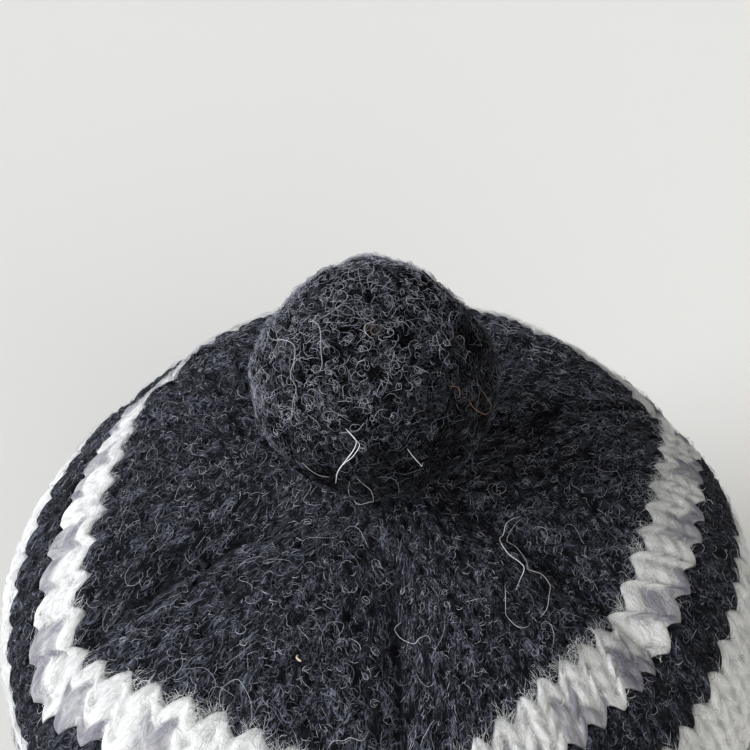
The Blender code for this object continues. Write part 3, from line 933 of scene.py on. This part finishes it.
# Stray hairs: a few long wool hairs lie loose over the nap, some pale and two rust-coloured, with a fleck of
# straw. Each is given by the points of the photograph that it passes, and lies on the piece seen there.
PHOTO_SIZE = 750
KINKED_HAIR = ((345, 427), (353, 434), (358, 440), (357, 447), (350, 455), (345, 461), (340, 470), (337, 482))
KINKED_HAIR_TWIN = ((346, 428), (356, 437), (360, 443), (356, 452), (348, 459), (344, 463))
SHORT_HAIR = ((407, 447), (413, 453), (417, 459), (419, 463), (422, 461))
WAVY_HAIR = (
    (268, 332), (276, 340), (288, 342), (296, 348), (297, 360), (294, 374), (300, 388), (296, 400),
    (292, 417),
)
ARCHED_HAIR = ((309, 323), (318, 324), (323, 333), (325, 351), (324, 364), (320, 373))
LOOP_LEFT = (
    (350, 479), (350, 490), (352, 500), (360, 507), (369, 505), (373, 496), (371, 487), (362, 480),
    (354, 474),
)
LOOP_RIGHT = ((376, 493), (385, 498), (395, 496), (399, 487), (394, 477), (384, 474), (376, 476))
SLANTING_HAIR = ((303, 461), (312, 466), (322, 471), (331, 476))
RUST_LOOP = ((448, 386), (455, 387), (457, 393), (456, 398))
RUST_HAIR = ((467, 397), (468, 405), (474, 411), (482, 411), (486, 405), (483, 396), (479, 388))
RUST_CURLS = ((365, 338), (367, 331), (371, 327), (375, 329), (372, 333), (377, 335), (381, 330), (379, 326))
PALE_CURL = ((372, 319), (375, 324), (368, 327), (366, 333), (370, 338), (375, 338))
CROWN_LOOP = (
    (522, 517), (511, 518), (506, 526), (504, 534), (498, 541), (500, 549), (508, 557), (518, 562),
    (522, 572), (519, 583), (514, 592),
)
CROWN_LOOP_TWIN = (
    (524, 518), (514, 525), (509, 533), (509, 543), (512, 551), (521, 562), (524, 573), (538, 578),
    (548, 585), (550, 598), (545, 610), (537, 619),
)
CROWN_LOOP_TAIL = (
    (514, 580), (508, 584), (504, 596), (505, 608), (510, 618), (518, 627), (526, 628), (531, 622),
)
CROWN_WAVE = ((402, 622), (397, 628), (400, 634), (407, 640), (415, 644), (420, 641), (426, 638), (432, 643))
LOW_LOOP = ((324, 653), (322, 640), (325, 629), (333, 622), (342, 624), (344, 631), (337, 636), (331, 633))
LEFT_CIRCLE = (
    (173, 682), (181, 671), (194, 667), (208, 671), (216, 682), (214, 696), (204, 703), (190, 699),
    (183, 689),
)
LEFT_ARCH = ((220, 711), (221, 696), (226, 684), (237, 679), (246, 686), (250, 700), (252, 717))
RIGHT_ARCH = ((253, 719), (256, 708), (262, 702), (271, 703), (278, 711), (281, 721))
STRAIGHT_HAIR = ((224, 672), (232, 662), (243, 653), (254, 645), (262, 640))
EDGE_CURL = ((141, 682), (146, 680), (151, 684), (149, 691), (141, 694))
LOW_WAVE = ((329, 749), (334, 741), (342, 737), (352, 737), (361, 741), (369, 730))
STRAW = ((299, 655), (300, 658), (301, 662))
STRAY_POINTS = 44
STRAY_STEPS = 8
STRAY_END = 0.12
MILLIMETRE = 0.001
STRAY_TONES = (
    ("bright", (0.85, 0.86, 0.88)), ("pale", (0.48, 0.48, 0.50)), ("grey", (0.22, 0.22, 0.25)),
    ("rust", (0.26, 0.150, 0.095)), ("straw", (0.78, 0.66, 0.50)),
)
BRIGHT, PALE, GREY, RUST, CREAM = range(len(STRAY_TONES))
# Each stray: where the photograph shows it, its tone, and its half thickness and its lift in millimetres
STRAYS = (
    (KINKED_HAIR, BRIGHT, 0.095, 1.1),
    (KINKED_HAIR_TWIN, BRIGHT, 0.070, 1.3),
    (SHORT_HAIR, BRIGHT, 0.085, 1.1),
    (WAVY_HAIR, PALE, 0.075, 1.1),
    (ARCHED_HAIR, PALE, 0.080, 1.2),
    (LOOP_LEFT, PALE, 0.080, 1.0),
    (LOOP_RIGHT, GREY, 0.080, 1.0),
    (SLANTING_HAIR, PALE, 0.080, 1.0),
    (RUST_LOOP, RUST, 0.080, 1.0),
    (RUST_HAIR, RUST, 0.085, 1.2),
    (RUST_CURLS, RUST, 0.055, 1.1),
    (CROWN_LOOP, BRIGHT, 0.085, 1.1),
    (PALE_CURL, PALE, 0.070, 1.1),
    (CROWN_LOOP_TWIN, PALE, 0.080, 1.3),
    (CROWN_LOOP_TAIL, PALE, 0.060, 1.0),
    (CROWN_WAVE, PALE, 0.080, 1.0),
    (LOW_LOOP, GREY, 0.070, 0.9),
    (LEFT_CIRCLE, GREY, 0.070, 1.0),
    (LEFT_ARCH, PALE, 0.060, 1.0),
    (RIGHT_ARCH, GREY, 0.070, 1.0),
    (STRAIGHT_HAIR, GREY, 0.070, 1.0),
    (EDGE_CURL, BRIGHT, 0.080, 0.9),
    (LOW_WAVE, PALE, 0.075, 1.0),
    (STRAW, CREAM, 0.30, 0.7),
)
worn_surface = bmesh.new()
for piece in (bobble, crown, pattern_round):
    worn_surface.from_mesh(piece.data)
surface_tree = BVHTree.FromBMesh(worn_surface)
worn_surface.free()
photo_right = Vector((1, 0, 0))
photo_up = back.cross(photo_right)


def seen_on_cap(pixel):
    """Where the camera's line through a point of the photograph meets the cap, and the way out there."""
    sideways = (pixel[0] - PHOTO_SIZE / 2) / PHOTO_SIZE * camera_data.sensor_width / camera_data.lens
    upwards = (PHOTO_SIZE / 2 - pixel[1]) / PHOTO_SIZE * camera_data.sensor_width / camera_data.lens
    way = (photo_right * sideways + photo_up * upwards - back).normalized()
    place, normal, _, _ = surface_tree.ray_cast(camera.location, way)
    return np.array(place), np.array(normal)


def spread_evenly(values, along, count):
    """The values at evenly spaced places of a path, whose places so far are given."""
    even = np.linspace(0, along[-1], count)
    return np.stack([np.interp(even, along, values[:, axis]) for axis in range(3)], -1)


stray_paths = []
stray_outward = []
for pixels, _, _, lift in STRAYS:
    seen = [seen_on_cap(pixel) for pixel in pixels]
    knots = np.array([place for place, _ in seen])
    normals = np.array([normal for _, normal in seen])
    rising = np.sin(np.linspace(STRAY_END, math.pi - STRAY_END, len(knots))) ** 0.5
    knots += normals * (lift * MILLIMETRE * rising)[:, None]
    before = np.vstack([2 * knots[:1] - knots[1:2], knots[:-2]])
    after = np.vstack([knots[2:], 2 * knots[-1:] - knots[-2:-1]])
    share = np.linspace(0, 1, STRAY_STEPS + 1)[:-1, None, None]
    first, second = knots[:-1], knots[1:]
    bent = 2 * before - 5 * first + 4 * second - after
    twisted = 3 * first - before - 3 * second + after
    smooth = 0.5 * (2 * first + (second - before) * share + bent * share ** 2 + twisted * share ** 3)
    smooth = np.vstack([smooth.transpose(1, 0, 2).reshape(-1, 3), knots[-1:]])
    along = np.append(0, np.cumsum(np.linalg.norm(np.diff(smooth, axis=0), axis=1)))
    stray_paths.append(spread_evenly(smooth, along, STRAY_POINTS))
    stray_outward.append(spread_evenly(normals, np.linspace(0, 1, len(normals)), STRAY_POINTS))
stray_fibres = [fibre_wool("stray_" + tone, colour) for tone, colour in STRAY_TONES]
stray_radius = np.array([thickness * MILLIMETRE for _, _, thickness, _ in STRAYS])
stray_tone = np.array([tone for _, tone, _, _ in STRAYS])
fibres("stray_hairs", np.array(stray_paths), np.array(stray_outward), stray_radius, stray_tone, stray_fibres)
